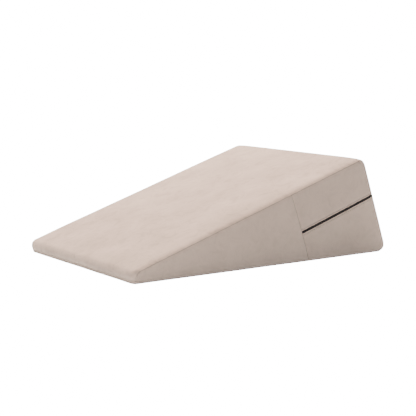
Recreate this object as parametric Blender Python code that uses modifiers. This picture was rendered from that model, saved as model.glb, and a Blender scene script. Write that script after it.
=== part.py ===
# Wedge pillow: one long foam wedge in a sewn suede-finish cover, with a zip round its thick end.
# Metres, +Z up. +Y runs from the thin nose up to the high back, and X runs across the width.
# The origin is on the floor under the middle of the whole part.
# The back face and the side seams stand square to the sloping top, and only the base cuts them aslant.

import math

import bmesh
import bpy
from mathutils import Vector
from mathutils.bvhtree import BVHTree

# Overall shape, before the edges are rounded
WIDTH = 0.6096
LENGTH = 0.8636
NOSE_HEIGHT = 0.0320
SLOPE = math.radians(18.07)

# Roll of the filled cover at its edges
TOP_SIDE_RADIUS = 0.013
BASE_SIDE_RADIUS = 0.0112
TOP_BACK_RADIUS = 0.036
BASE_BACK_RADIUS = 0.0294
BACK_CORNER_RADIUS = 0.0278
NOSE_TOP_RADIUS = 0.0174
NOSE_BASE_RADIUS = 0.0186
NOSE_CORNER_RADIUS = 0.014
ROLL_STEPS = 4

# Crown of the faces between their seams
TOP_CROWN = 0.006
SIDE_CROWN = 0.005
BACK_CROWN = 0.004
LOWER_BACK_SWELL = 0.00136
CROWN_CUTS_ACROSS = 8
CROWN_CUTS_ALONG = 11
CROWN_CUTS_DOWN = 6

# Sewn seams, as drawn-in channels
CHANNEL_RADIUS = 0.0020
TOP_SEAM_DEPTH = 0.0055
TOP_SEAM_INSET = 0.0024
TOP_SEAM_BACK_INSET = 0.0169
NOSE_SEAM_HEIGHT = 0.0075
BASE_SEAM_HEIGHT = 0.0033
BASE_SEAM_INSET = 0.0033
BASE_SEAM_BACK_HEIGHT = 0.0086
SIDE_SEAM_FROM_BACK = 0.2839
SEAM_STEP = 0.03
BEND_STEPS = 6

# Zip in the rear band, in its slot
ZIP_DEPTH = 0.1166
ZIP_SEAM_GAP = 0.003
SLOT_WIDTH = 0.0082
SLOT_FLOOR = 0.0028
TAPE_WIDTH = 0.0076
TAPE_THICKNESS = 0.0010
COIL_WIDTH = 0.0059
COIL_PROUD = 0.0007
CLEARANCE = 0.0003
ZIP_BEND_STEPS = 8
ZIP_STEP = 0.03

# Places worked out from those sizes
RISE = Vector((0.0, math.cos(SLOPE), math.sin(SLOPE)))
OUT_OF_TOP = Vector((0.0, -math.sin(SLOPE), math.cos(SLOPE)))
ACROSS = Vector((1.0, 0.0, 0.0))
BACK_HEIGHT = LENGTH * math.sin(SLOPE) + NOSE_HEIGHT * math.cos(SLOPE)
TOP_LENGTH = LENGTH * math.cos(SLOPE) - NOSE_HEIGHT * math.sin(SLOPE)
BASE_BACK_ANGLE = math.pi / 2 - SLOPE
NOSE_TOP_ANGLE = math.pi / 2 + SLOPE
ROUNDED_OFF_BACK = BASE_BACK_RADIUS * ((1 + math.sin(SLOPE)) / math.cos(SLOPE) - 1)
NOSE_Y = -(LENGTH - ROUNDED_OFF_BACK + LOWER_BACK_SWELL) / 2
BASE_BACK = Vector((0.0, NOSE_Y + LENGTH, 0.0))
TOP_BACK = BASE_BACK + OUT_OF_TOP * BACK_HEIGHT
NOSE_TOP = Vector((0.0, NOSE_Y, NOSE_HEIGHT))
NOSE_BASE = Vector((0.0, NOSE_Y, 0.0))


def start_empty():
    for item in list(bpy.data.objects):
        bpy.data.objects.remove(item, do_unlink=True)


def new_collection(name):
    collection = bpy.data.collections.new(name)
    bpy.context.scene.collection.children.link(collection)
    return collection


def plain_material(name, color, roughness):
    material = bpy.data.materials.new(name)
    material.use_nodes = True
    shader = material.node_tree.nodes["Principled BSDF"]
    shader.inputs["Base Color"].default_value = (*color, 1.0)
    shader.inputs["Roughness"].default_value = roughness
    shader.inputs["Metallic"].default_value = 0.0
    return material


def new_object(name, mesh, collection, material=None):
    item = bpy.data.objects.new(name, mesh)
    collection.objects.link(item)
    if material:
        mesh.materials.clear()
        mesh.materials.append(material)
    return item


def evaluated_mesh(item):
    graph = bpy.context.evaluated_depsgraph_get()
    return bpy.data.meshes.new_from_object(item.evaluated_get(graph), depsgraph=graph)


def from_top(x, forward, depth):
    """A point from its distance in front of the back face and its depth below the top, both square."""
    return TOP_BACK + ACROSS * x - RISE * forward - OUT_OF_TOP * depth


def to_top(point):
    """The distance in front of the back face and the depth below the top of a point."""
    away = point - TOP_BACK
    return -away.dot(RISE), -away.dot(OUT_OF_TOP)


def hump(share):
    """0 at either end of a span and 1 in its middle."""
    share = min(max(share, 0.0), 1.0)
    return 1.0 - (2.0 * share - 1.0) ** 2


def crown(point):
    """How far the filling pushes out the cover at a point of the flat-faced wedge."""
    forward, depth = to_top(point)
    thickness = max(BACK_HEIGHT - forward * math.tan(SLOPE), NOSE_HEIGHT)
    down = depth / thickness
    along = forward / TOP_LENGTH
    over = point.x / WIDTH + 0.5
    edge = min(abs(point.x) / (WIDTH / 2), 1.0)
    near_back = max(1.0 - forward / BASE_BACK_RADIUS, 0.0)
    top = TOP_CROWN * hump(over) * hump(along) * max(1.0 - down, 0.0)
    side = SIDE_CROWN * hump(down) * hump(along) * thickness / BACK_HEIGHT * edge ** 8
    back = BACK_CROWN * hump(over) * hump(depth / BACK_HEIGHT) * near_back
    return OUT_OF_TOP * top + ACROSS * math.copysign(side, point.x) + RISE * back


def bevel_width(radius, angle):
    return radius / math.tan(angle / 2)


def edge_width(edge):
    """The bevel that each edge of the wedge takes, told from the two corners that it joins."""
    first, second = (vert.co for vert in edge.verts)
    upper = min(to_top(first)[1], to_top(second)[1]) < 0.001
    back = max(first.y, second.y) > 0.0
    square = math.pi / 2
    if abs(first.x - second.x) > WIDTH / 2:
        if back:
            return bevel_width(TOP_BACK_RADIUS, square) if upper else bevel_width(
                BASE_BACK_RADIUS, BASE_BACK_ANGLE)
        return bevel_width(NOSE_TOP_RADIUS, NOSE_TOP_ANGLE) if upper else bevel_width(
            NOSE_BASE_RADIUS, square)
    if abs(first.y - second.y) > LENGTH / 2:
        return TOP_SIDE_RADIUS if upper else BASE_SIDE_RADIUS
    return BACK_CORNER_RADIUS if back else NOSE_CORNER_RADIUS


def rounded_wedge(collection, material):
    """A cube drawn out to the wedge's eight corners, with each edge rolled by its own radius."""
    corners = {(True, True): TOP_BACK, (True, False): BASE_BACK,
               (False, True): NOSE_TOP, (False, False): NOSE_BASE}
    mesh = bpy.data.meshes.new("pillow")
    bm = bmesh.new()
    bmesh.ops.create_cube(bm, size=1.0)
    for vert in bm.verts:
        place = corners[vert.co.y > 0, vert.co.z > 0]
        vert.co = place + ACROSS * math.copysign(WIDTH / 2, vert.co.x)
    weights = bm.edges.layers.float.new("bevel_weight_edge")
    widths = {edge: edge_width(edge) for edge in bm.edges}
    widest = max(widths.values())
    for edge, width in widths.items():
        edge[weights] = width / widest
    bm.to_mesh(mesh)
    bm.free()

    item = new_object("pillow", mesh, collection, material)
    roll = item.modifiers.new("edge roll", "BEVEL")
    roll.limit_method = "WEIGHT"
    roll.width = widest
    roll.segments = ROLL_STEPS
    roll.use_clamp_overlap = False
    return item


def swell_faces(item):
    """Cuts the rolled wedge into a grid and pushes the grid out to the crown of a filled cover."""
    mesh = evaluated_mesh(item)
    item.modifiers.clear()
    bm = bmesh.new()
    bm.from_mesh(mesh)
    cuts = [(ACROSS * (WIDTH * (step / CROWN_CUTS_ACROSS - 0.5)), ACROSS)
            for step in range(1, CROWN_CUTS_ACROSS)]
    cuts += [(from_top(0.0, TOP_LENGTH * step / CROWN_CUTS_ALONG, 0.0), RISE)
             for step in range(1, CROWN_CUTS_ALONG)]
    cuts += [(from_top(0.0, 0.0, BACK_HEIGHT * step / CROWN_CUTS_DOWN), OUT_OF_TOP)
             for step in range(1, CROWN_CUTS_DOWN)]
    for place, normal in cuts:
        everything = bm.verts[:] + bm.edges[:] + bm.faces[:]
        bmesh.ops.bisect_plane(bm, geom=everything, dist=1e-6, plane_co=place, plane_no=normal)
    bmesh.ops.remove_doubles(bm, verts=bm.verts, dist=0.0001)
    for vert in bm.verts:
        if vert.co.z > 1e-5:
            vert.co += crown(vert.co)
    bmesh.ops.triangulate(bm, faces=bm.faces)
    bm.to_mesh(mesh)
    bm.free()
    item.data = mesh
    mesh.name = "pillow"


def turn(centre, first, second, steps):
    """Points of a quarter-like bend from centre + first to centre + second."""
    points = []
    for step in range(steps + 1):
        angle = math.pi / 2 * step / steps
        points.append(centre + first * math.cos(angle) + second * math.sin(angle))
    return points


def straight(start, end, step):
    count = max(int((end - start).length / step), 1)
    return [start.lerp(end, index / count) for index in range(count + 1)]


def mirrored(points):
    return [Vector((-point.x, point.y, point.z)) for point in reversed(points)]


def nose_profile(x):
    """The front of the wedge seen from its side, from the nose seam up to the start of the slope."""
    low_centre = NOSE_BASE + Vector((x, NOSE_BASE_RADIUS, NOSE_BASE_RADIUS))
    drop = math.asin((NOSE_BASE_RADIUS - NOSE_SEAM_HEIGHT) / NOSE_BASE_RADIUS)
    points = []
    for step in range(BEND_STEPS):
        angle = drop * (1 - step / BEND_STEPS)
        reach = Vector((0.0, -math.cos(angle), -math.sin(angle)))
        points.append(low_centre + reach * NOSE_BASE_RADIUS)
    back_to_centre = NOSE_TOP_RADIUS / math.tan(NOSE_TOP_ANGLE / 2)
    high_centre = NOSE_TOP + Vector((x, NOSE_TOP_RADIUS, -back_to_centre))
    for step in range(BEND_STEPS + 1):
        angle = (math.pi / 2 - SLOPE) * step / BEND_STEPS
        reach = Vector((0.0, -math.cos(angle), math.sin(angle)))
        points.append(high_centre + reach * NOSE_TOP_RADIUS)
    return points


def top_seam():
    """Up round the nose, along the top edge, across the back and down again on the other side."""
    x = WIDTH / 2 - TOP_SEAM_INSET
    nose = [point + Vector((0.0, TOP_SEAM_DEPTH, 0.0)) for point in nose_profile(x)]
    low = from_top(x, TOP_LENGTH - NOSE_TOP_RADIUS, TOP_SEAM_DEPTH)
    side_end = from_top(x, BACK_CORNER_RADIUS + TOP_SEAM_BACK_INSET, TOP_SEAM_DEPTH)
    bend = turn(from_top(x - BACK_CORNER_RADIUS, BACK_CORNER_RADIUS + TOP_SEAM_BACK_INSET,
                         TOP_SEAM_DEPTH),
                ACROSS * BACK_CORNER_RADIUS, RISE * BACK_CORNER_RADIUS, BEND_STEPS)
    half = nose[:-1] + straight(low, side_end, SEAM_STEP) + bend[1:]
    return half + straight(half[-1], mirrored(half)[0], SEAM_STEP)[1:-1] + mirrored(half)


def base_seam():
    """The closed line where the base is sewn on: low along the sides and back, higher at the nose."""
    x = WIDTH / 2 - BASE_SEAM_INSET
    front_y = nose_profile(0.0)[0].y
    back_y = BASE_BACK.y - ROUNDED_OFF_BACK - BASE_SEAM_BACK_HEIGHT
    lift = Vector((0.0, 0.0, NOSE_SEAM_HEIGHT))
    nose_bend = turn(Vector((x - NOSE_CORNER_RADIUS, front_y + NOSE_CORNER_RADIUS, 0.0)) + lift,
                     Vector((0.0, -NOSE_CORNER_RADIUS, 0.0)),
                     Vector((NOSE_CORNER_RADIUS, 0.0, BASE_SEAM_HEIGHT - NOSE_SEAM_HEIGHT)),
                     BEND_STEPS)
    side_end = Vector((x, back_y - 2 * BACK_CORNER_RADIUS, BASE_SEAM_HEIGHT))
    back_bend = turn(Vector((x - BACK_CORNER_RADIUS, back_y - BACK_CORNER_RADIUS,
                             BASE_SEAM_BACK_HEIGHT)),
                     Vector((BACK_CORNER_RADIUS, 0.0, BASE_SEAM_HEIGHT - BASE_SEAM_BACK_HEIGHT)),
                     Vector((0.0, BACK_CORNER_RADIUS, 0.0)), BEND_STEPS)
    half = nose_bend + straight(nose_bend[-1], side_end, SEAM_STEP)[1:] + back_bend
    back = straight(half[-1], mirrored(half)[0], SEAM_STEP)[1:-1]
    front = straight(mirrored(half)[-1], half[0], SEAM_STEP)[1:-1]
    return half + back + mirrored(half) + front


def side_seam(sign):
    """Square to the top, from the top seam down to the base seam, on one side."""
    thickness = BACK_HEIGHT - SIDE_SEAM_FROM_BACK * math.tan(SLOPE)
    start = from_top(sign * WIDTH / 2, SIDE_SEAM_FROM_BACK, TOP_SEAM_DEPTH)
    end = from_top(sign * WIDTH / 2, SIDE_SEAM_FROM_BACK, thickness - BASE_SEAM_HEIGHT)
    return [point + crown(point) for point in straight(start, end, SEAM_STEP)]


def sewn_channel(name, points, surface, collection, closed=False):
    """A wire laid on the cushion's surface along a seam, used to press the seam into it."""
    curve = bpy.data.curves.new(name, "CURVE")
    curve.dimensions = "3D"
    curve.bevel_depth = CHANNEL_RADIUS
    curve.bevel_resolution = 1
    curve.use_fill_caps = True
    spline = curve.splines.new("POLY")
    laid = [surface.find_nearest(point)[0] for point in points]
    spline.points.add(len(laid) - 1)
    for target, place in zip(spline.points, laid):
        target.co = (*place, 1.0)
    spline.use_cyclic_u = closed
    wire = bpy.data.objects.new(name + " wire", curve)
    collection.objects.link(wire)
    mesh = evaluated_mesh(wire)
    bm = bmesh.new()
    bm.from_mesh(mesh)
    bmesh.ops.remove_doubles(bm, verts=bm.verts, dist=1e-5)
    bm.to_mesh(mesh)
    bm.free()
    cutter = new_object(name, mesh, collection)
    cutter.matrix_world = wire.matrix_world
    bpy.data.objects.remove(wire, do_unlink=True)
    return as_cutter(cutter)


def as_cutter(item):
    item.hide_render = True
    item.display_type = "WIRE"
    return item


def cut(item, cutter):
    step = item.modifiers.new(cutter.name, "BOOLEAN")
    step.operation = "DIFFERENCE"
    step.solver = "EXACT"
    step.object = cutter


def zip_line(end_gap, outward):
    """The zip's path round the thick end, from one side seam to the other, moved out by a distance."""
    radius = BACK_CORNER_RADIUS
    start = from_top(WIDTH / 2, SIDE_SEAM_FROM_BACK - ZIP_SEAM_GAP - end_gap, ZIP_DEPTH)
    side_end = from_top(WIDTH / 2, radius, ZIP_DEPTH)
    centre = from_top(WIDTH / 2 - radius, radius, ZIP_DEPTH)
    side = [(point, ACROSS) for point in straight(start, side_end, ZIP_STEP)]
    bend = [(point, (point - centre).normalized())
            for point in turn(centre, ACROSS * radius, RISE * radius, ZIP_BEND_STEPS)]
    half = side[:-1] + bend
    other = [(Vector((-point.x, point.y, point.z)), Vector((-out.x, out.y, out.z)))
             for point, out in reversed(half)]
    middle = [(point, RISE) for point in straight(half[-1][0], other[0][0], ZIP_STEP)[1:-1]]
    return [point + crown(point) + out * outward for point, out in half + middle + other]


def zip_ribbon(name, width, inner, outer, end_gap, collection, material=None):
    """An upright strip along the zip's line, from one depth in the cover to another."""
    mesh = bpy.data.meshes.new(name)
    bm = bmesh.new()
    points = zip_line(end_gap, (inner + outer) / 2)
    lower = [bm.verts.new(point - OUT_OF_TOP * width / 2) for point in points]
    edges = [bm.edges.new(pair) for pair in zip(lower, lower[1:])]
    raised = bmesh.ops.extrude_edge_only(bm, edges=edges)["geom"]
    moved = [part for part in raised if isinstance(part, bmesh.types.BMVert)]
    bmesh.ops.translate(bm, verts=moved, vec=OUT_OF_TOP * width)
    bmesh.ops.recalc_face_normals(bm, faces=bm.faces)
    bm.to_mesh(mesh)
    bm.free()
    item = new_object(name, mesh, collection, material)
    wall = item.modifiers.new("thickness", "SOLIDIFY")
    wall.thickness = outer - inner
    wall.offset = 0.0
    wall.use_even_offset = True
    return item


def build():
    start_empty()
    parts = new_collection("wedge pillow")
    cutters = new_collection("cutters")
    suede = plain_material("greige suede", (0.58, 0.51, 0.46), 0.92)
    tape_cloth = plain_material("black zip tape", (0.018, 0.018, 0.022), 0.80)
    coil_nylon = plain_material("black zip coil", (0.012, 0.012, 0.015), 0.45)

    pillow = rounded_wedge(parts, suede)
    swell_faces(pillow)
    shape = bmesh.new()
    shape.from_mesh(pillow.data)
    surface = BVHTree.FromBMesh(shape)
    shape.free()
    cut(pillow, sewn_channel("top seam", top_seam(), surface, cutters))
    cut(pillow, sewn_channel("base seam", base_seam(), surface, cutters, closed=True))
    cut(pillow, sewn_channel("right side seam", side_seam(1), surface, cutters))
    cut(pillow, sewn_channel("left side seam", side_seam(-1), surface, cutters))
    slot_top = 3 * CHANNEL_RADIUS
    cut(pillow, as_cutter(zip_ribbon("zip slot", SLOT_WIDTH, -SLOT_FLOOR, slot_top, 0.0, cutters)))
    pillow.data.shade_smooth()
    pillow.data.set_sharp_from_angle(angle=math.radians(35))

    tape_floor = CLEARANCE - SLOT_FLOOR
    tape_face = tape_floor + TAPE_THICKNESS
    zip_ribbon("zip_tape", TAPE_WIDTH, tape_floor, tape_face, CLEARANCE, parts, tape_cloth)
    coil = zip_ribbon("zip_coil", COIL_WIDTH, tape_face + CLEARANCE, COIL_PROUD,
                      2 * CLEARANCE, parts, coil_nylon)
    edge = coil.modifiers.new("rounded coil", "BEVEL")
    edge.width = 0.0005
    edge.segments = 2
    edge.limit_method = "ANGLE"
    edge.angle_limit = math.radians(60)


build()
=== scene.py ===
# Wedge pillow in a brushed suede-finish cover, with a nylon coil zip round its thick end
import math

import bmesh
import bpy
import numpy as np
from mathutils import Matrix, Vector, noise


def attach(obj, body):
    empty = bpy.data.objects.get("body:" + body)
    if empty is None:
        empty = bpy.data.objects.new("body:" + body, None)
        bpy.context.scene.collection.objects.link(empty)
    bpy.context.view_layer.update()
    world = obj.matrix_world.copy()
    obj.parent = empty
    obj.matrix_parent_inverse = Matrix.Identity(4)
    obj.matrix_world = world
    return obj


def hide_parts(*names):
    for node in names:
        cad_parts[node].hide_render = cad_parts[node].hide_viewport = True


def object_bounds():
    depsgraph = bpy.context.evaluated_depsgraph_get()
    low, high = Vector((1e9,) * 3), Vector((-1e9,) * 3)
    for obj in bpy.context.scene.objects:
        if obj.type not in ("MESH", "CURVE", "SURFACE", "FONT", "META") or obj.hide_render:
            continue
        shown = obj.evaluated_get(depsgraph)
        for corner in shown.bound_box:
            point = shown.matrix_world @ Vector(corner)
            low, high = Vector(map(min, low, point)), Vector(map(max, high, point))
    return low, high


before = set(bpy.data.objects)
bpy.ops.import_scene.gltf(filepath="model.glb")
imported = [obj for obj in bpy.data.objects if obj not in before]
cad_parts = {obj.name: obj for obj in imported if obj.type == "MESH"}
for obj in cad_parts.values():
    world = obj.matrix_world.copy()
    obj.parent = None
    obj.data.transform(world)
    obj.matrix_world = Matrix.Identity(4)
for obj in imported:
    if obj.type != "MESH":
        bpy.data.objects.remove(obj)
cadLow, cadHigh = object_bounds()
print("frame loaded:", sorted(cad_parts))

# The wedge's own sizes in metres, as its CAD solid has them but for a rounder nose corner
wedge = {
    "width": 0.6096, "length": 0.8636, "noseHeight": 0.0320, "slope": math.radians(18.07),
    "noseY": cadLow.y,
    "topSideRoll": 0.013, "baseSideRoll": 0.0112, "topBackRoll": 0.036, "baseBackRoll": 0.0294,
    "backCornerRoll": 0.0278, "noseTopRoll": 0.0174, "noseBaseRoll": 0.0186, "noseCornerRoll": 0.021,
    "rollSteps": 8, "mergeReach": 0.00004,
}
farAway = 1.0   # a distance that no seam reaches
across = Vector((1.0, 0.0, 0.0))
rise = Vector((0.0, math.cos(wedge["slope"]), math.sin(wedge["slope"])))      # up the slope, to the back
outOfTop = Vector((0.0, -math.sin(wedge["slope"]), math.cos(wedge["slope"])))
halfWidth = wedge["width"] / 2
backHeight = wedge["length"] * math.sin(wedge["slope"]) + wedge["noseHeight"] * math.cos(wedge["slope"])
topLength = wedge["length"] * math.cos(wedge["slope"]) - wedge["noseHeight"] * math.sin(wedge["slope"])
baseBack = Vector((0.0, wedge["noseY"] + wedge["length"], 0.0))
topBack = baseBack + outOfTop * backHeight
noseTop = Vector((0.0, wedge["noseY"], wedge["noseHeight"]))
noseBase = Vector((0.0, wedge["noseY"], 0.0))
noseTopAngle = math.pi / 2 + wedge["slope"]
noseTopReach = wedge["noseTopRoll"] / math.tan(noseTopAngle / 2)
noseTopCentre = noseTop + Vector((0.0, wedge["noseTopRoll"], -noseTopReach))
noseBaseCentre = noseBase + Vector((0.0, wedge["noseBaseRoll"], wedge["noseBaseRoll"]))


def fromTop(x, forward, depth):   # a place from its distance to the back face and its depth under the top
    return topBack + across * x - rise * forward - outOfTop * depth


def onlySelect(item):
    bpy.ops.object.select_all(action="DESELECT")
    item.select_set(True)
    bpy.context.view_layer.objects.active = item


def applyModifiers(item):
    onlySelect(item)
    for step in list(item.modifiers):
        bpy.ops.object.modifier_apply(modifier=step.name)


def settle(item):   # put the object's place into its mesh
    onlySelect(item)
    bpy.ops.object.transform_apply(location=True, rotation=True, scale=True)


def readPoints(mesh):
    points = np.empty(len(mesh.vertices) * 3)
    mesh.vertices.foreach_get("co", points)
    return points.reshape(-1, 3)


def readNormals(mesh):
    normals = np.empty(len(mesh.vertices) * 3, np.float32)
    mesh.vertex_normals.foreach_get("vector", normals)
    return normals.reshape(-1, 3).astype(float)


def writePoints(mesh, points):
    mesh.vertices.foreach_set("co", points.astype(np.float32).ravel())
    mesh.update()


# Camera, fitted to the photo's perspective
cameraView = {
    "place": (2.8539, cadLow.y - 1.4530, 0.6020),
    "yaw": 56.582, "pitch": 7.891, "roll": 0.470,   # degrees: from +Y towards -X, down, lean
    "lens": 102.40, "sensor": 36.0,
}


def addCamera(view):
    yaw, pitch, roll = (math.radians(view[key]) for key in ("yaw", "pitch", "roll"))
    ahead = Vector((-math.sin(yaw) * math.cos(pitch), math.cos(yaw) * math.cos(pitch), -math.sin(pitch)))
    side = Vector((math.cos(yaw), math.sin(yaw), 0.0))
    down = ahead.cross(side)
    right = side * math.cos(roll) + down * math.sin(roll)
    low = down * math.cos(roll) - side * math.sin(roll)
    data = bpy.data.cameras.new("photoCamera")
    data.lens = view["lens"]
    data.sensor_width = view["sensor"]
    data.clip_start, data.clip_end = 0.1, 60.0
    camera = bpy.data.objects.new("photoCamera", data)
    bpy.context.scene.collection.objects.link(camera)
    turn = Matrix((right, -low, -ahead)).transposed()
    camera.matrix_world = Matrix.Translation(view["place"]) @ turn.to_4x4()
    bpy.context.scene.camera = camera


addCamera(cameraView)
print("camera placed")

# The filled cover: one closed cushion with its crown and its sewn seams
cushion = {
    "gridStep": 0.0082,
    "topCrown": 0.006, "topCrownEdge": 12.0, "sideCrown": 0.005, "sideCrownEdge": 8, "backCrown": 0.004,
    "edgeArc": 0.036, "edgeReach": 0.0179,   # shallow arc by which the top panel comes down to its side seams
    "edgeBackFade": (0.012, 0.045), "edgeNoseFade": (0.32, 0.65),
    "topSeamDepth": 0.0048, "noseSeamHeight": 0.0090, "baseSeamHeight": 0.0034, "baseSeamBackHeight": 0.0086,
    "noseSeamRun": (0.010, 0.060), "backSeamRun": (0.060, 0.012),   # where the base seam climbs at both ends
    "sideSeamPlace": 0.2839, "topSeamEnd": 0.0005,
    "seamRound": 0.0017,                 # radius of the two cloth rolls that meet in a seam
    "seamUneven": 0.10, "seamUnevenSize": 0.021, "seamSeed": 3.0,
    "noseSeamSetBack": 0.0110, "noseSeamRound": 0.022,   # the top seam rounds off the side panels' front ends
    "noseLipOut": 0.0034, "noseLipRound": 0.0052, "noseLipHeight": 0.0050, "noseLipUnder": 0.0068,
    "noseLipOver": 0.8, "noseLipFacing": (0.2, 0.9), "noseLipEnd": 0.97, "noseLipSides": (0.002, 0.022),
    "frontFacing": (0.3, 0.9),           # normals that count as the nose's front
    "noseSeamEase": 0.45,                # the nose seam is drawn in by this much less
    "noseShadeEase": 0.5,                # and its painted seam shade is this much paler
    "drawIn": 0.0005, "drawInReach": 0.008,
    "seamLoops": (-0.0046, -0.0032, -0.0022, -0.0015, -0.0009, -0.0004, 0.0, 0.0004, 0.0009, 0.0015, 0.0022,
                  0.0032, 0.0046),
    "topLoopScale": 0.85, "baseLoopScale": 0.65, "noseLoopScale": 0.9, "noseLoopLow": -0.002,
    "seamClear": 0.006, "baseClear": 0.0004, "noseRefineReach": 0.038, "noseRefineEdge": 0.0022,
    "zipDepth": 0.1166, "slotHalf": 0.0040, "slotDepth": 0.0026, "lipRound": 0.0010, "lipDepth": 0.75,
    "slotSlack": 0.00005, "bandFacing": 0.4,
    "lipLean": 0.0004, "lipLeanPlace": 0.0045, "lipLeanReach": 0.0009,
    "slotLoops": (0.0, 0.0020, 0.0036, 0.0040, 0.00415, 0.0044, 0.0047, 0.0051, 0.0057, 0.0064, 0.0070,
                  0.0073, 0.0078, 0.0083, 0.0088, 0.0095, 0.0108),
    "stitchRow": 0.0083, "stitchSink": 0.0009, "stitchReach": 0.0010,
    # reach of the painted seam shade, and strength of the painted shade along the zip's stitch rows
    "shadeReach": 0.0008, "stitchRowPaintedShade": 0.95,
    "waveHeight": 0.00045, "waveSize": 0.11, "rippleHeight": 0.00012, "rippleSize": 0.028,
    "waveSeed": 11.0, "rippleSeed": 5.0, "calmReach": 0.03, "zipCalm": (0.006, 0.03),
    "panelShift": 3.7, "panelShiftDown": 0.6, "foldInset": 0.003, "foldWidth": 0.011, "backRoundShare": 0.3,
}


def hump(share):   # 0 at both ends of a span, 1 in its middle
    return 1.0 - (2.0 * np.clip(share, 0.0, 1.0) - 1.0) ** 2


def bulge(share):   # 0 at both ends, rising fast to a wide middle of 1
    return 1.0 - np.abs(2.0 * np.clip(share, 0.0, 1.0) - 1.0) ** cushion["topCrownEdge"]


def arcDrop(inset, radius, reach):   # how far an arc that starts flat at the reach has come down at an inset
    return radius - np.sqrt(radius ** 2 - np.clip(reach - inset, 0.0, reach) ** 2)


def smoothStep(low, high, value):
    share = np.clip((value - low) / (high - low), 0.0, 1.0)
    return share * share * (3.0 - 2.0 * share)


def crownOf(points):   # how far the filling pushes out the flat-faced wedge
    away = points - np.array(topBack)
    forward, depth = -away @ np.array(rise), -away @ np.array(outOfTop)
    thickness = np.maximum(backHeight - forward * math.tan(wedge["slope"]), wedge["noseHeight"])
    down = depth / thickness
    over = points[:, 0] / wedge["width"] + 0.5
    edge = np.minimum(np.abs(points[:, 0]) / halfWidth, 1.0)
    nearBack = np.maximum(1.0 - forward / wedge["baseBackRoll"], 0.0)
    top = cushion["topCrown"] * bulge(over) * bulge(forward / topLength) * np.maximum(1.0 - down, 0.0)
    side = cushion["sideCrown"] * hump(down) * hump(forward / topLength) * thickness / backHeight
    side *= edge ** cushion["sideCrownEdge"]
    back = cushion["backCrown"] * hump(over) * hump(depth / backHeight) * nearBack
    return (top[:, None] * np.array(outOfTop) + back[:, None] * np.array(rise)
            + (side * np.sign(points[:, 0]))[:, None] * np.array(across))


def blankWedge(name):
    bpy.ops.object.select_all(action="DESELECT")
    bpy.ops.mesh.primitive_cube_add(size=1.0, location=(0.0, 0.0, 0.5))
    blank = bpy.context.object
    blank.name = name
    settle(blank)
    corners = {(True, True): topBack, (True, False): baseBack,
               (False, True): noseTop, (False, False): noseBase}
    bpy.ops.object.mode_set(mode="EDIT")
    bpy.ops.mesh.select_all(action="SELECT")
    bpy.ops.transform.resize(value=(wedge["width"], 1.0, 1.0), center_override=(0.0, 0.0, 0.0))
    bpy.ops.mesh.select_all(action="DESELECT")
    bpy.ops.mesh.select_mode(type="VERT")
    shape = bmesh.from_edit_mesh(blank.data)
    ends = {key: [v for v in shape.verts if (v.co.y > 0, v.co.z > 0.5) == key] for key in corners}
    for key, place in corners.items():
        for vert in shape.verts:
            vert.select_set(vert in ends[key])
        shape.select_flush_mode()
        bmesh.update_edit_mesh(blank.data)
        start = ends[key][0].co
        bpy.ops.transform.translate(value=(0.0, place.y - start.y, place.z - start.z))
    bpy.ops.object.mode_set(mode="OBJECT")
    return blank


def rollWidth(edge):   # the bevel that turns an edge of the wedge into the roll of a filled cover
    first, second = (vert.co for vert in edge.verts)
    upper = min(-(first - topBack).dot(outOfTop), -(second - topBack).dot(outOfTop)) < 0.001
    back = max(first.y, second.y) > 0.0
    if abs(first.x - second.x) > halfWidth:
        if back:
            baseReach = wedge["baseBackRoll"] / math.tan((math.pi / 2 - wedge["slope"]) / 2)
            return wedge["topBackRoll"] if upper else baseReach
        return noseTopReach if upper else wedge["noseBaseRoll"]
    if abs(first.y - second.y) > wedge["length"] / 2:
        return wedge["topSideRoll"] if upper else wedge["baseSideRoll"]
    return wedge["backCornerRoll"] if back else wedge["noseCornerRoll"]


def rollEdges(blank):
    shape = bmesh.new()
    shape.from_mesh(blank.data)
    weights = shape.edges.layers.float.new("bevel_weight_edge")
    widths = {edge: rollWidth(edge) for edge in shape.edges}
    widest = max(widths.values())
    for edge, width in widths.items():
        edge[weights] = width / widest
    shape.to_mesh(blank.data)
    shape.free()
    roll = blank.modifiers.new("edgeRoll", "BEVEL")
    roll.limit_method = "WEIGHT"
    roll.width = widest
    roll.segments = wedge["rollSteps"]
    roll.use_clamp_overlap = False
    applyModifiers(blank)


def loopCuts(item, cuts):   # each cut is a place and a normal
    onlySelect(item)
    bpy.ops.object.mode_set(mode="EDIT")
    for place, normal in cuts:
        bpy.ops.mesh.select_all(action="SELECT")
        bpy.ops.mesh.bisect(plane_co=place, plane_no=normal, use_fill=False, threshold=1e-6)
    bpy.ops.mesh.select_all(action="SELECT")
    bpy.ops.mesh.remove_doubles(threshold=wedge["mergeReach"])
    bpy.ops.object.mode_set(mode="OBJECT")


def evenSteps(low, high, step, keepClear=()):
    count = max(int(round((high - low) / step)), 1)
    places = [low + (high - low) * index / count for index in range(1, count)]
    return [place for place in places if all(abs(place - other) > step * 0.6 for other in keepClear)]


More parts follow.
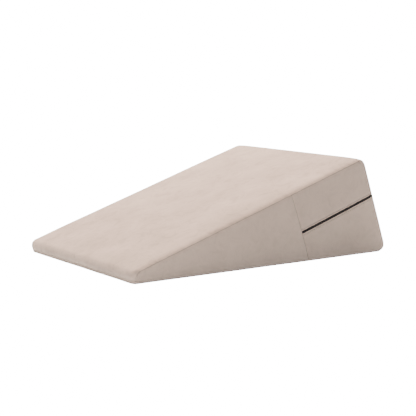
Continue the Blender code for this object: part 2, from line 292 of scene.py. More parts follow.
def cushionCuts():
    step = cushion["gridStep"]
    seam, zipPlace = cushion["sideSeamPlace"], cushion["zipDepth"]
    cuts = [(across * x, across) for x in evenSteps(-halfWidth, halfWidth, step)]
    forwards = evenSteps(0.0, topLength, step, keepClear=(seam,))
    forwards += [seam + off for off in cushion["seamLoops"]]
    cuts += [(fromTop(0.0, place, 0.0), rise) for place in forwards]
    depths = evenSteps(cushion["topSeamDepth"] + cushion["seamClear"], backHeight, step,
                       keepClear=(zipPlace,))
    depths += [cushion["topSeamDepth"] + off * cushion["topLoopScale"] for off in cushion["seamLoops"]]
    depths += [zipPlace + side * off for off in cushion["slotLoops"] for side in (-1, 1) if off or side > 0]
    cuts += [(fromTop(0.0, 0.0, place), outOfTop) for place in depths]
    heights = [cushion["baseSeamHeight"] + off * cushion["baseLoopScale"] for off in cushion["seamLoops"]]
    heights += [cushion["noseSeamHeight"] + off * cushion["noseLoopScale"] for off in cushion["seamLoops"]
                if off > cushion["noseLoopLow"]]
    upright = Vector((0.0, 0.0, 1.0))
    cuts += [(upright * height, upright) for height in heights if height > cushion["baseClear"]]
    return cuts


def refineNoseSides(item):   # the seam leaves the straight loops there, so its faces are made smaller
    onlySelect(item)
    bpy.ops.object.mode_set(mode="EDIT")
    bpy.ops.mesh.select_mode(type="FACE")
    bpy.ops.mesh.select_all(action="DESELECT")
    shape = bmesh.from_edit_mesh(item.data)
    for face in shape.faces:
        middle = face.calc_center_median()
        beside = abs(middle.x) > halfWidth - wedge["noseCornerRoll"]
        ahead = middle.y < wedge["noseY"] + cushion["noseRefineReach"]
        longest = max(edge.calc_length() for edge in face.edges)
        face.select_set(beside and ahead and middle.z > cushion["baseClear"]
                        and longest > cushion["noseRefineEdge"])
    bmesh.update_edit_mesh(item.data)
    bpy.ops.mesh.subdivide(number_cuts=2)
    bpy.ops.object.mode_set(mode="OBJECT")


def noseFields(points):   # depth inside the side outline, from the nose and the top, and the way out of it
    plane = points.copy()
    plane[:, 0] = 0.0
    depth = -(plane - np.array(topBack)) @ np.array(outOfTop)
    out = np.tile(np.array(outOfTop), (len(points), 1))
    fromUpper = plane - np.array(noseTopCentre)
    fromLower = plane - np.array(noseBaseCentre)
    before = fromUpper @ np.array(rise) < 0.0
    upper = before & (fromUpper[:, 2] >= 0.0)
    lower = before & (fromLower[:, 2] < 0.0)
    middle = before & ~upper & ~lower
    for zone, away, radius in ((upper, fromUpper, wedge["noseTopRoll"]),
                               (lower, fromLower, wedge["noseBaseRoll"])):
        length = np.maximum(np.linalg.norm(away[zone], axis=1), 1e-6)
        depth[zone] = radius - length
        out[zone] = away[zone] / length[:, None]
    depth[middle] = points[middle, 1] - wedge["noseY"]
    out[middle] = (0.0, -1.0, 0.0)
    depth[lower & (fromLower[:, 1] > 0.0)] = farAway
    return depth, out


def seamOutline(points):   # depth inside the top seam's outline in side view, and the way out of it
    round = cushion["noseSeamRound"]
    centreY = cushion["noseSeamSetBack"] + round
    centreZ = (wedge["noseHeight"] + centreY * math.tan(wedge["slope"])
               - (cushion["topSeamDepth"] + round) / math.cos(wedge["slope"]))
    away = points - np.array((0.0, wedge["noseY"] + centreY, centreZ))
    away[:, 0] = 0.0
    length = np.maximum(np.linalg.norm(away, axis=1), 1e-6)
    before = away @ np.array(rise) < 0.0
    corner, front = before & (away[:, 2] > 0.0), before & (away[:, 2] <= 0.0)
    depth = -(points - np.array(topBack)) @ np.array(outOfTop) - cushion["topSeamDepth"]
    depth = np.where(corner, round - length, np.where(front, round + away[:, 1], depth))
    out = np.tile(np.array(outOfTop), (len(points), 1))
    out[corner] = away[corner] / length[corner][:, None]
    out[front] = (0.0, -1.0, 0.0)
    return depth, out


def surfaceDistance(value, normals, direction):   # along the surface, to where the value is nought
    slant = np.sqrt(np.maximum(1.0 - np.sum(normals * direction, axis=1) ** 2, 0.0))
    return value / np.maximum(slant, 0.02)


def seamDistances(points, normals):
    away = points - np.array(topBack)
    forward = -away @ np.array(rise)
    height = points[:, 2]
    noseY, backY = wedge["noseY"], cadHigh.y
    (noseRise, noseLevel), (backLevel, backRise) = cushion["noseSeamRun"], cushion["backSeamRun"]
    seamHeight = (cushion["baseSeamHeight"]
                  + (cushion["noseSeamHeight"] - cushion["baseSeamHeight"])
                  * (1.0 - smoothStep(noseY + noseRise, noseY + noseLevel, points[:, 1]))
                  + (cushion["baseSeamBackHeight"] - cushion["baseSeamHeight"])
                  * smoothStep(backY - backLevel, backY - backRise, points[:, 1]))
    inside, out = seamOutline(points)
    topSeam = surfaceDistance(inside, normals, out)
    upright = np.tile(np.array((0.0, 0.0, 1.0)), (len(points), 1))
    baseSeam = surfaceDistance(height - seamHeight, normals, upright)
    climb = np.tile(np.array(rise), (len(points), 1))
    sideSeam = surfaceDistance(forward - cushion["sideSeamPlace"], normals, climb)
    topSeam[baseSeam < -cushion["topSeamEnd"]] = farAway
    sideSeam[(np.abs(normals[:, 0]) < 0.5) | (topSeam < 0.0) | (baseSeam < 0.0)] = farAway
    return topSeam, baseSeam, sideSeam, forward


def rollDepth(distance, radius):   # how deep two cloth rolls of that radius leave the groove between them
    inside = np.clip(radius - np.abs(distance), 0.0, radius)
    return radius - np.sqrt(radius ** 2 - inside ** 2)


def noiseAt(points, size, offset):
    shift = Vector((offset, offset * 1.7, offset * 0.6))
    return np.array([noise.noise(Vector(point) / size + shift) for point in points])


def squareTopEdges(points, topSeam, baseSeam, forward):   # flat sides up to the seam, the top arcs to it
    roll, seam = wedge["topSideRoll"], cushion["topSeamDepth"]
    inset = halfWidth - np.abs(points[:, 0])
    depth, out = noseFields(points)
    seamInset = arcDrop(seam, roll, roll)
    share = np.clip((inset - seamInset) / (cushion["edgeReach"] - seamInset), 0.0, 1.0)
    onTop = (topSeam < 0.0) & (baseSeam > 0.0)
    push = np.where(onTop, seamInset * (1.0 - share) ** 2, arcDrop(np.maximum(depth, seam), roll, roll))
    push *= inset < cushion["edgeReach"]
    lower = arcDrop(inset - push, cushion["edgeArc"], cushion["edgeReach"]) - arcDrop(inset, roll, roll)
    lower = np.where(onTop, lower, 0.0)
    ahead = -seamOutline(points)[1][:, 1]
    fade = smoothStep(*cushion["edgeBackFade"], forward)
    fade *= 1.0 - smoothStep(*cushion["edgeNoseFade"], ahead)
    fade *= baseSeam > 0.0
    moves = (push * np.sign(points[:, 0]))[:, None] * np.array(across) - lower[:, None] * out
    return moves * fade[:, None]


def fillNoseLip(points, normals, baseSeam):   # under the nose seam the base panel bulges out to a small lip
    roll, round, middle = wedge["noseBaseRoll"], cushion["noseLipRound"], cushion["noseLipHeight"]
    height = points[:, 2]
    share = np.clip((height - middle) / round, -1.0, 1.0)
    curl = np.where(share < 0.0, cushion["noseLipUnder"], round * cushion["noseLipOver"])
    wanted = cushion["noseLipOut"] + curl * (1.0 - np.sqrt(1.0 - share ** 2))
    level = np.hypot(normals[:, 0], normals[:, 1])
    heading = normals[:, :2] / np.maximum(level, 1e-3)[:, None]
    push = np.maximum(arcDrop(height, roll, roll) - wanted, 0.0)
    push *= smoothStep(*cushion["noseLipFacing"], -heading[:, 1])
    push *= (baseSeam < 0.0) & (height > 1e-5)
    push *= points[:, 1] < wedge["noseY"] + roll * cushion["noseLipEnd"]
    push *= smoothStep(*cushion["noseLipSides"], halfWidth - np.abs(points[:, 0]))
    return np.column_stack((heading * push[:, None], np.zeros(len(points))))


def sewCushion(item):
    mesh = item.data
    points, normals = readPoints(mesh), readNormals(mesh)
    onBase = points[:, 2] < 1e-5
    topSeam, baseSeam, sideSeam, forward = seamDistances(points, normals)
    nearest = np.minimum(np.minimum(np.abs(topSeam), np.abs(baseSeam)), np.abs(sideSeam))
    uneven = noiseAt(points, cushion["seamUnevenSize"], cushion["seamSeed"])
    radius = cushion["seamRound"] * (1.0 + cushion["seamUneven"] * uneven)
    onFront = smoothStep(*cushion["frontFacing"], -normals[:, 1])
    sink = rollDepth(nearest, radius) * (1.0 - cushion["noseSeamEase"] * onFront)
    sink += cushion["drawIn"] * np.exp(-(nearest / cushion["drawInReach"]) ** 2)
    depth = -(points - np.array(topBack)) @ np.array(outOfTop)
    fromZip = np.abs(depth - cushion["zipDepth"])
    band = ((forward < cushion["sideSeamPlace"])
            & (np.abs(normals @ np.array(outOfTop)) < cushion["bandFacing"]))
    slotEdge = cushion["slotHalf"] + cushion["slotSlack"]
    slot = np.where(fromZip < slotEdge, cushion["slotDepth"],
                    rollDepth(fromZip - cushion["slotHalf"], cushion["lipRound"]) * cushion["lipDepth"])
    rows = np.where(band, np.exp(-((fromZip - cushion["stitchRow"]) / cushion["stitchReach"]) ** 2), 0.0)
    sink += np.where(band, slot, 0.0) + rows * cushion["stitchSink"]
    wave = (cushion["waveHeight"] * noiseAt(points, cushion["waveSize"], cushion["waveSeed"])
            + cushion["rippleHeight"] * noiseAt(points, cushion["rippleSize"], cushion["rippleSeed"]))
    calm = smoothStep(0.0, cushion["calmReach"], nearest)
    calm *= np.where(band, smoothStep(*cushion["zipCalm"], fromZip), 1.0)
    moved = points + crownOf(points) + normals * (wave * calm - sink)[:, None]
    moved += squareTopEdges(points, topSeam, baseSeam, forward) + fillNoseLip(points, normals, baseSeam)
    lean = cushion["lipLean"] * np.exp(-((fromZip - cushion["lipLeanPlace"]) / cushion["lipLeanReach"]) ** 2)
    lean *= band * (fromZip > slotEdge) * np.sign(depth - cushion["zipDepth"])
    moved += lean[:, None] * np.array(outOfTop)
    moved[onBase] = points[onBase]
    moved[:, 2] = np.maximum(moved[:, 2], 0.0)
    writePoints(mesh, moved)
    # painted shade: the cloth's colour is darkened along each seam, standing in for the shade in its groove
    shade = mesh.attributes.new("paintedSeamShade", "FLOAT", "POINT")
    paintedShade = np.exp(-(nearest / cushion["shadeReach"]) ** 2) * (1.0 - cushion["noseShadeEase"] * onFront)
    # painted shade along the stitch rows beside the zip, standing in for the shade in their sunk grooves
    paintedShade += cushion["stitchRowPaintedShade"] * rows
    shade.data.foreach_set("value", np.minimum(paintedShade, 1.0).astype(np.float32))
    layPanels(mesh, points, topSeam, baseSeam, forward, depth)


def layPanels(mesh, points, topSeam, baseSeam, forward, depth):   # cut each panel from its own cloth
    corners = np.empty(len(mesh.loops), np.int32)
    mesh.loops.foreach_get("vertex_index", corners)
    starts = np.empty(len(mesh.polygons), np.int32)
    mesh.polygons.foreach_get("loop_start", starts)
    counts = np.diff(np.append(starts, len(corners)))
    owner = np.repeat(np.arange(len(starts)), counts)

    def faceMean(values):
        return np.add.reduceat(values[corners], starts) / counts

    middleX = faceMean(points[:, 0])
    top = (faceMean(topSeam) < 0.0) & (faceMean(baseSeam) > 0.0)
    base = faceMean(baseSeam) < 0.0
    band = ~top & ~base & (faceMean(forward) < cushion["sideSeamPlace"])
    panel = np.where(top, 0, np.where(base, 1, np.where(band, 2, np.where(middleX > 0.0, 3, 4))))
    bandHigh = faceMean(depth) < cushion["zipDepth"]
    panel = np.where(band & ~bandHigh, 5, panel)
    mesh.polygons.foreach_set("material_index", np.where(panel == 0, 0, 1).astype(np.int32))
    x, y, z = points[corners].T
    fromBack, under = forward[corners], depth[corners]
    side = np.sign(middleX)[owner]
    kind = panel[owner]
    overNose = np.maximum(wedge["noseHeight"] - z, 0.0) * (y < wedge["noseY"] + wedge["noseBaseRoll"])
    roundEnd = np.where(np.abs(x) > halfWidth - wedge["backCornerRoll"] * cushion["backRoundShare"],
                        side * (halfWidth + fromBack), x)
    folded = side * np.maximum(under - cushion["foldInset"], 0.0)
    folded *= np.abs(x) > halfWidth - cushion["foldWidth"]
    u = np.choose(kind, (x + folded, x, roundEnd, fromBack, fromBack, roundEnd))
    v = np.choose(kind, (fromBack + overNose, y, under, under, under, under))
    shift = kind * cushion["panelShift"]
    cloth = mesh.uv_layers.new(name="clothMap")
    cloth.data.foreach_set("uv", np.column_stack((u + shift, v + shift * cushion["panelShiftDown"]))
                           .astype(np.float32).ravel())


def makeCushion():
    item = blankWedge("wedge_cushion")
    rollEdges(item)
    loopCuts(item, cushionCuts())
    refineNoseSides(item)
    sewCushion(item)
    item.data.shade_smooth()
    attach(item, "root")
    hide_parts("pillow")
    return item


wedgeCushion = makeCushion()
print("cushion sewn:", len(wedgeCushion.data.vertices), "points")


# Zip and its stitching follow one line round the thick end
zipLook = {
    "lineStep": 0.006, "bendSteps": 14, "endGap": 0.0004,
    "coilPitch": 0.00145, "coilHalf": 0.00295, "coilOverlap": 0.0007, "wire": 0.00036, "coilOut": -0.00055,
    "coilSlant": 9.0, "coilSides": 6, "coilCuts": (-0.40, 0.20, 0.36), "headWiden": (1.45, 1.25, 1.0),
    "endNarrow": 0.55, "tailDip": 0.0005,
    "stitchLength": 0.0027, "stitchPitch": 0.0036, "thread": 0.00027, "stitchOut": 0.00002,
    "stitchEnds": 0.38, "stitchDip": 1.1,
}


def zipLine():   # places in the plane of the zip: across the width, and up the slope from the back face
    radius, start = wedge["backCornerRoll"], cushion["sideSeamPlace"] - zipLook["endGap"]
    count = int((start - radius) / zipLook["lineStep"])
    side = [(halfWidth, -start + (start - radius) * index / count) for index in range(count)]
    for index in range(zipLook["bendSteps"] + 1):
        angle = math.pi / 2 * index / zipLook["bendSteps"]
        side.append((halfWidth - radius + radius * math.cos(angle), -radius + radius * math.sin(angle)))
    reach = halfWidth - radius
    count = int(reach / zipLook["lineStep"])
    half = side + [(reach * (1 - index / count), 0.0) for index in range(1, count + 1)]
    flat = half + [(-x, y) for x, y in reversed(half[:-1])]
    places = np.array([fromTop(x, -y, cushion["zipDepth"]) for x, y in flat])
    swell = crownOf(places)
    return [(x + push @ np.array(across), y + push @ np.array(rise)) for (x, y), push in zip(flat, swell)]


def zipGuide():
    line = zipLine()
    curve = bpy.data.curves.new("zipGuide", "CURVE")
    curve.dimensions = "2D"
    spline = curve.splines.new("POLY")
    spline.points.add(len(line) - 1)
    for point, (x, y) in zip(spline.points, line):
        point.co = (x, y, 0.0, 1.0)
    guide = bpy.data.objects.new("zipGuide", curve)
    bpy.context.scene.collection.objects.link(guide)
    turn = Matrix((across, rise, outOfTop)).transposed().to_4x4()
    guide.matrix_world = Matrix.Translation(fromTop(0.0, 0.0, cushion["zipDepth"])) @ turn
    length = sum(math.dist(a, b) for a, b in zip(line, line[1:]))
    return guide, length


def alongZip(unit, guide, length, pitch):   # repeat a unit along the zip, then bend the row to its line
    count = int(length / pitch)
    row = unit.modifiers.new("row", "ARRAY")
    row.use_relative_offset = False
    row.use_constant_offset = True
    row.constant_offset_displace = (length / count, 0.0, 0.0)
    row.count = count
    unit.matrix_world = guide.matrix_world
    bend = unit.modifiers.new("bend", "CURVE")
    bend.object = guide
    bend.deform_axis = "POS_X"
    applyModifiers(unit)
    settle(unit)
    unit.data.shade_smooth()


def pickEdit(item, test):   # select the points that pass a test, in edit mode
    bpy.ops.mesh.select_mode(type="VERT")
    bpy.ops.mesh.select_all(action="DESELECT")
    shape = bmesh.from_edit_mesh(item.data)
    for vert in shape.verts:
        vert.select_set(test(vert.co))
    shape.select_flush_mode()
    bmesh.update_edit_mesh(item.data)


def coilTurn(side):   # one half turn of the coil: a short wire with a wider head that locks in the middle
    look = zipLook
    length = look["coilHalf"] + look["coilOverlap"]
    middle = side * (look["coilHalf"] - look["coilOverlap"]) / 2
    place = (look["coilPitch"] * (0.25 if side > 0 else 0.75), -look["coilOut"], middle)
    bpy.ops.object.select_all(action="DESELECT")
    bpy.ops.mesh.primitive_cylinder_add(vertices=look["coilSides"], radius=look["wire"], depth=length,
                                        location=(0.0, 0.0, 0.0), end_fill_type="NGON")
    turn = bpy.context.object
    bpy.ops.object.mode_set(mode="EDIT")
    bpy.ops.mesh.select_all(action="SELECT")
    for cut in look["coilCuts"]:
        bpy.ops.mesh.select_all(action="SELECT")
        bpy.ops.mesh.bisect(plane_co=(0.0, 0.0, -side * cut * length), plane_no=(0.0, 0.0, 1.0))
    head = -side * look["coilCuts"][-1] * length
    pickEdit(turn, lambda co: abs(co.z - head) < 1e-5)
    bpy.ops.transform.resize(value=look["headWiden"], center_override=(0.0, 0.0, head))
    for end in (-0.5, 0.5):
        pickEdit(turn, lambda co: abs(co.z - end * length) < 1e-5)
        bpy.ops.transform.resize(value=(look["endNarrow"], look["endNarrow"], 1.0),
                                 center_override=(0.0, 0.0, end * length))
    tail = side * 0.5 * length
    pickEdit(turn, lambda co: abs(co.z - tail) < 1e-5)
    bpy.ops.transform.translate(value=(0.0, look["tailDip"], 0.0))
    bpy.ops.mesh.select_all(action="SELECT")
    bpy.ops.transform.rotate(value=math.radians(look["coilSlant"]) * side, orient_axis="Y",
                             center_override=(0.0, 0.0, 0.0))
    bpy.ops.transform.translate(value=place)
    bpy.ops.object.mode_set(mode="OBJECT")
    return turn


def makeCoil(guide, length):
    first, second = coilTurn(1), coilTurn(-1)
    onlySelect(first)
    second.select_set(True)
    bpy.ops.object.join()
    settle(first)
    first.name = "zip_coil_chain"
    alongZip(first, guide, length, zipLook["coilPitch"])
    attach(first, "root")
    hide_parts("zip_coil")
    return first


def makeStitches(name, side, guide, length):   # a row of lockstitches, each end drawn into the cloth
    look = zipLook
    bpy.ops.object.select_all(action="DESELECT")
    bpy.ops.mesh.primitive_uv_sphere_add(segments=8, ring_count=6, radius=1.0, location=(0.0, 0.0, 0.0),
                                         rotation=(0.0, math.pi / 2, 0.0))
    stitch = bpy.context.object
    settle(stitch)
    bpy.ops.object.mode_set(mode="EDIT")
    bpy.ops.mesh.select_all(action="SELECT")
    bpy.ops.transform.resize(value=(look["stitchLength"] / 2, look["thread"], look["thread"]),
                             center_override=(0.0, 0.0, 0.0))
    pickEdit(stitch, lambda co: abs(co.x) > look["stitchLength"] * look["stitchEnds"])
    bpy.ops.transform.translate(value=(0.0, look["thread"] * look["stitchDip"], 0.0))
    bpy.ops.mesh.select_all(action="SELECT")
    sink = cushion["stitchSink"] - look["stitchOut"] - look["thread"] * 0.5
    bpy.ops.transform.translate(value=(look["stitchPitch"] / 2, sink, side * cushion["stitchRow"]))
    bpy.ops.object.mode_set(mode="OBJECT")
    stitch.name = name
    alongZip(stitch, guide, length, look["stitchPitch"])
    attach(stitch, "root")
    return stitch


zipCurve, zipLength = zipGuide()
zipCoil = makeCoil(zipCurve, zipLength)
stitchRows = [makeStitches("zip_stitches_upper", 1, zipCurve, zipLength),
              makeStitches("zip_stitches_lower", -1, zipCurve, zipLength)]
bpy.data.objects.remove(zipCurve, do_unlink=True)
print("zip closed:", round(zipLength, 3), "m of coil")

# Finishes
suedeLook = {
    # the dark colour of the painted shade laid along the seams and stitch rows
    "paintedSeamShadeTone": (0.38, 0.335, 0.305, 1.0),
    "roughness": 0.88, "sheen": 0.35, "sheenRoughness": 0.45, "specular": 0.25,
    "darkStop": 0.22, "lightStop": 0.78, "bump": 0.25, "bumpDepth": 0.0006,
}
topNap = {   # broad clouds with few strokes
    "light": (0.740, 0.632, 0.564, 1.0), "dark": (0.450, 0.385, 0.344, 1.0),
    "stretch": 0.90, "cloudSize": 8.5, "strokeSize": 24.0, "fibreSize": 850.0, "warp": 0.04,
    "cloudShare": 0.80, "strokeShare": 0.22,
}
sideNap = {   # patted both ways, with more strokes
    "light": (0.640, 0.548, 0.490, 1.0), "dark": (0.560, 0.480, 0.428, 1.0),
    "stretch": 1.0, "cloudSize": 9.0, "strokeSize": 26.0, "fibreSize": 850.0, "warp": 0.05,
    "cloudShare": 0.65, "strokeShare": 0.35,
}


napSockets = {   # the nap group's inputs and the keys that fill them
    "Cloud Size": "cloudSize", "Stroke Size": "strokeSize", "Fibre Size": "fibreSize",
    "Warp": "warp", "Cloud Share": "cloudShare", "Stroke Share": "strokeShare",
}
coilLook = {
    "dark": (0.012, 0.015, 0.018, 1.0), "light": (0.022, 0.027, 0.031, 1.0),
    "grainSize": 420.0, "smooth": 0.38, "rough": 0.55, "specular": 0.35,
}
tapeLook = {
    "thread": (0.020, 0.023, 0.026, 1.0), "gap": (0.008, 0.010, 0.012, 1.0),
    "weaveSize": 1500.0, "roughness": 0.85, "specular": 0.2, "bump": 0.4, "bumpDepth": 0.0002,
}


def newSocket(group, name, direction, kind):
    return group.interface.new_socket(name=name, in_out=direction, socket_type=kind)


def link(tree, source, target):
    tree.links.new(source, target)


def addNode(tree, kind, x, y, **settings):
    node = tree.nodes.new(kind)
    node.location = (x, y)
    for key, value in settings.items():
        setattr(node, key, value)
    return node


def setInputs(node, **values):
    for key, value in values.items():
        node.inputs[key].default_value = value


def mathNode(tree, operation, first, second, x, y):
    node = addNode(tree, "ShaderNodeMath", x, y, operation=operation)
    for index, value in enumerate((first, second)):
        if value is None:
            continue
        if isinstance(value, (int, float)):
            node.inputs[index].default_value = value
        else:
            link(tree, value, node.inputs[index])
    return node.outputs[0]


def brushedNapGroup():   # cloudy patches and short feathered strokes, as a hand leaves them on suede
    group = bpy.data.node_groups.new("brushedNap", "ShaderNodeTree")
    newSocket(group, "Vector", "INPUT", "NodeSocketVector")
    for name in napSockets:
        newSocket(group, name, "INPUT", "NodeSocketFloat")
    newSocket(group, "Shade", "OUTPUT", "NodeSocketFloat")
    newSocket(group, "Height", "OUTPUT", "NodeSocketFloat")
    given = addNode(group, "NodeGroupInput", -1200, 0)
    result = addNode(group, "NodeGroupOutput", 900, 0)
    swirl = addNode(group, "ShaderNodeTexNoise", -1000, -200)
    setInputs(swirl, Scale=16.0, Detail=2.0)
    link(group, given.outputs["Vector"], swirl.inputs["Vector"])
    centred = addNode(group, "ShaderNodeVectorMath", -820, -200, operation="SUBTRACT")
    centred.inputs[1].default_value = (0.5, 0.5, 0.5)
    link(group, swirl.outputs["Color"], centred.inputs[0])
    push = addNode(group, "ShaderNodeVectorMath", -640, -200, operation="SCALE")
    link(group, centred.outputs[0], push.inputs[0])
    link(group, given.outputs["Warp"], push.inputs["Scale"])
    bent = addNode(group, "ShaderNodeVectorMath", -460, -100, operation="ADD")
    link(group, given.outputs["Vector"], bent.inputs[0])
    link(group, push.outputs[0], bent.inputs[1])
    cloud = addNode(group, "ShaderNodeTexNoise", -260, 200)
    setInputs(cloud, Detail=3.0, Roughness=0.55)
    link(group, bent.outputs[0], cloud.inputs["Vector"])
    link(group, given.outputs["Cloud Size"], cloud.inputs["Scale"])
    stroke = addNode(group, "ShaderNodeTexNoise", -260, -50)
    setInputs(stroke, Detail=4.0, Roughness=0.62, Distortion=0.9)
    link(group, bent.outputs[0], stroke.inputs["Vector"])
    link(group, given.outputs["Stroke Size"], stroke.inputs["Scale"])
    fibre = addNode(group, "ShaderNodeTexNoise", -260, -300)
    setInputs(fibre, Detail=2.0, Roughness=0.7)
    link(group, given.outputs["Vector"], fibre.inputs["Vector"])
    link(group, given.outputs["Fibre Size"], fibre.inputs["Scale"])
    offMiddle = mathNode(group, "SUBTRACT", stroke.outputs[0], 0.5, -80, -50)
    ridge = mathNode(group, "ABSOLUTE", offMiddle, None, 80, -50)
    feather = mathNode(group, "SUBTRACT", 1.0, mathNode(group, "MULTIPLY", ridge, 5.0, 240, -50), 380, -50)
    soft = mathNode(group, "MAXIMUM", feather, 0.0, 520, -50)
    clouds = mathNode(group, "MULTIPLY", cloud.outputs[0], given.outputs["Cloud Share"], 240, 200)
    strokes = mathNode(group, "MULTIPLY", soft, given.outputs["Stroke Share"], 640, 0)
    both = mathNode(group, "ADD", clouds, strokes, 700, 150)
    link(group, both, result.inputs["Shade"])
    fine = mathNode(group, "MULTIPLY", fibre.outputs[0], 0.6, 240, -300)
    broad = mathNode(group, "MULTIPLY", soft, 0.4, 520, -250)
    link(group, mathNode(group, "ADD", fine, broad, 700, -250), result.inputs["Height"])
    return group


def newMaterial(name):
    mat = bpy.data.materials.new(name)
    mat.use_nodes = True
    return mat, mat.node_tree, mat.node_tree.nodes["Principled BSDF"]


def suedeMaterial(name, nap, look):
    mat, tree, bsdf = newMaterial(name)
    cloth = addNode(tree, "ShaderNodeUVMap", -1200, 0, uv_map="clothMap")
    grain = addNode(tree, "ShaderNodeMapping", -1000, 0)
    grain.inputs["Scale"].default_value = (1.0, look["stretch"], 1.0)
    link(tree, cloth.outputs[0], grain.inputs["Vector"])
    brushed = addNode(tree, "ShaderNodeGroup", -780, 0, node_tree=nap)
    for socket, key in napSockets.items():
        brushed.inputs[socket].default_value = look[key]
    link(tree, grain.outputs[0], brushed.inputs["Vector"])
    ramp = addNode(tree, "ShaderNodeValToRGB", -560, 150)
    ramp.color_ramp.elements[0].position = suedeLook["darkStop"]
    ramp.color_ramp.elements[0].color = look["dark"]
    ramp.color_ramp.elements[1].position = suedeLook["lightStop"]
    ramp.color_ramp.elements[1].color = look["light"]
    link(tree, brushed.outputs["Shade"], ramp.inputs[0])
    # painted shade: the cloth is mixed towards the dark seam colour along the seams and stitch rows
    groove = addNode(tree, "ShaderNodeAttribute", -560, -200, attribute_name="paintedSeamShade")
    mix = addNode(tree, "ShaderNodeMix", -260, 100, data_type="RGBA")
    link(tree, groove.outputs["Fac"], mix.inputs["Factor"])
    link(tree, ramp.outputs[0], mix.inputs["A"])
    mix.inputs["B"].default_value = suedeLook["paintedSeamShadeTone"]
    link(tree, mix.outputs["Result"], bsdf.inputs["Base Color"])
    bump = addNode(tree, "ShaderNodeBump", -260, -300)
    setInputs(bump, Strength=suedeLook["bump"], Distance=suedeLook["bumpDepth"])
    link(tree, brushed.outputs["Height"], bump.inputs["Height"])
    link(tree, bump.outputs[0], bsdf.inputs["Normal"])
    bsdf.inputs["Roughness"].default_value = suedeLook["roughness"]
    bsdf.inputs["Specular IOR Level"].default_value = suedeLook["specular"]
    bsdf.inputs["Sheen Weight"].default_value = suedeLook["sheen"]
    bsdf.inputs["Sheen Roughness"].default_value = suedeLook["sheenRoughness"]
    return mat


def coilMaterial():   # black nylon wire, a little glossy
    mat, tree, bsdf = newMaterial("blackCoil")
    coords = addNode(tree, "ShaderNodeTexCoord", -900, 0)
    grain = addNode(tree, "ShaderNodeTexNoise", -700, 0)
    setInputs(grain, Scale=coilLook["grainSize"], Detail=2.0)
    link(tree, coords.outputs["Object"], grain.inputs["Vector"])
    ramp = addNode(tree, "ShaderNodeValToRGB", -480, 100)
    ramp.color_ramp.elements[0].color = coilLook["dark"]
    ramp.color_ramp.elements[1].color = coilLook["light"]
    link(tree, grain.outputs[0], ramp.inputs[0])
    link(tree, ramp.outputs[0], bsdf.inputs["Base Color"])
    gloss = addNode(tree, "ShaderNodeMapRange", -480, -200)
    setInputs(gloss, **{"To Min": coilLook["smooth"], "To Max": coilLook["rough"]})
    link(tree, grain.outputs[0], gloss.inputs["Value"])
    link(tree, gloss.outputs[0], bsdf.inputs["Roughness"])
    bsdf.inputs["Specular IOR Level"].default_value = coilLook["specular"]
    return mat


def tapeMaterial():   # black woven tape
    mat, tree, bsdf = newMaterial("wovenTape")
    coords = addNode(tree, "ShaderNodeTexCoord", -900, 0)
    weave = addNode(tree, "ShaderNodeTexVoronoi", -700, 0)
    setInputs(weave, Scale=tapeLook["weaveSize"])
    link(tree, coords.outputs["Object"], weave.inputs["Vector"])
    ramp = addNode(tree, "ShaderNodeValToRGB", -480, 100)
    ramp.color_ramp.elements[0].color = tapeLook["thread"]
    ramp.color_ramp.elements[1].color = tapeLook["gap"]
    link(tree, weave.outputs["Distance"], ramp.inputs[0])
    link(tree, ramp.outputs[0], bsdf.inputs["Base Color"])
    bump = addNode(tree, "ShaderNodeBump", -260, -300)
    setInputs(bump, Strength=tapeLook["bump"], Distance=tapeLook["bumpDepth"])
    link(tree, weave.outputs["Distance"], bump.inputs["Height"])
    link(tree, bump.outputs[0], bsdf.inputs["Normal"])
    bsdf.inputs["Roughness"].default_value = tapeLook["roughness"]
    bsdf.inputs["Specular IOR Level"].default_value = tapeLook["specular"]
    return mat


def dress(item, *mats):
    for mat in mats:
        item.data.materials.append(mat)


brushedNap = brushedNapGroup()
topSuede = suedeMaterial("brushedSuedeTop", brushedNap, topNap)
sideSuede = suedeMaterial("brushedSuedeSide", brushedNap, sideNap)
dress(wedgeCushion, topSuede, sideSuede)
for stitches in stitchRows:
    dress(stitches, sideSuede)
dress(zipCoil, coilMaterial())
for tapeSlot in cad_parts["zip_tape"].material_slots:
    tapeSlot.material = tapeMaterial()
print("finishes laid on")

# Stage: a white seamless floor and soft overhead light
stageLook = {
    "floorSize": 40.0, "floorHeight": -0.0005, "floorGlow": 17.0, "floorTone": (0.74, 0.80, 0.84, 1.0),
    "floorRoughness": 0.95, "aimHeight": 0.1,
    "sky": 0.36, "skyTint": (1.0, 0.86, 0.77),
    "floorLift": 0.40, "liftTint": (0.80, 0.82, 0.82, 1.0),
}
softboxes = {
    "overheadSoftbox": {"place": (-1.6, 0.3, 3.0), "size": 2.6, "power": 390.0, "tint": (1.0, 0.765, 0.62)},
    "sideFill": {"place": (3.6, -1.2, 1.3), "size": 2.6, "power": 9.0, "tint": (1.0, 0.88, 0.80)},
    "frontFill": {"place": (-0.2, -3.4, 0.25), "size": 0.45, "power": 0.3, "tint": (1.0, 0.88, 0.80)},
}


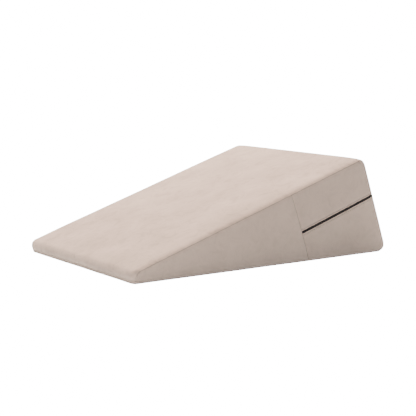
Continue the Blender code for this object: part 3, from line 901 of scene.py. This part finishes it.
def addSoftbox(name, place, size, power, tint):
    data = bpy.data.lights.new(name, "AREA")
    data.shape = "SQUARE"
    data.size = size
    data.energy = power
    data.color = tint
    lamp = bpy.data.objects.new(name, data)
    bpy.context.scene.collection.objects.link(lamp)
    away = Vector(place) - Vector((0.0, 0.0, stageLook["aimHeight"]))
    lamp.matrix_world = Matrix.Translation(place) @ away.to_track_quat("Z", "Y").to_matrix().to_4x4()


def seenApart(tree, lit, seen, target):   # one shader for light, another for what the camera sees
    path = addNode(tree, "ShaderNodeLightPath", -200, 300)
    pick = addNode(tree, "ShaderNodeMixShader", 200, 100)
    link(tree, path.outputs["Is Camera Ray"], pick.inputs[0])
    link(tree, lit.outputs[0], pick.inputs[1])
    link(tree, seen.outputs[0], pick.inputs[2])
    link(tree, pick.outputs[0], tree.nodes[target].inputs["Surface"])


def makeFloor():
    bpy.ops.object.select_all(action="DESELECT")
    bpy.ops.mesh.primitive_plane_add(size=stageLook["floorSize"],
                                     location=(0.0, 0.0, stageLook["floorHeight"]))
    floor = bpy.context.object
    floor.name = "floor"
    mat, tree, bsdf = newMaterial("paleFloor")
    bsdf.inputs["Base Color"].default_value = stageLook["floorTone"]
    bsdf.inputs["Emission Color"].default_value = stageLook["liftTint"]
    bsdf.inputs["Emission Strength"].default_value = stageLook["floorLift"]
    bsdf.inputs["Roughness"].default_value = stageLook["floorRoughness"]
    glow = addNode(tree, "ShaderNodeEmission", -200, -300)
    glow.inputs["Strength"].default_value = stageLook["floorGlow"]
    seenApart(tree, bsdf, glow, "Material Output")
    dress(floor, mat)


def makeSky():
    world = bpy.data.worlds.new("studio")
    bpy.context.scene.world = world
    world.use_nodes = True
    tree = world.node_tree
    sky = tree.nodes["Background"]
    sky.inputs["Strength"].default_value = stageLook["sky"]
    sky.inputs["Color"].default_value = (*stageLook["skyTint"], 1.0)
    seen = addNode(tree, "ShaderNodeBackground", 0, -200)
    seen.inputs["Strength"].default_value = stageLook["floorGlow"]
    seen.inputs["Color"].default_value = (1.0, 1.0, 1.0, 1.0)
    seenApart(tree, sky, seen, "World Output")


makeFloor()
makeSky()
for lampName, softbox in softboxes.items():
    addSoftbox(lampName, **softbox)
print("stage lit")
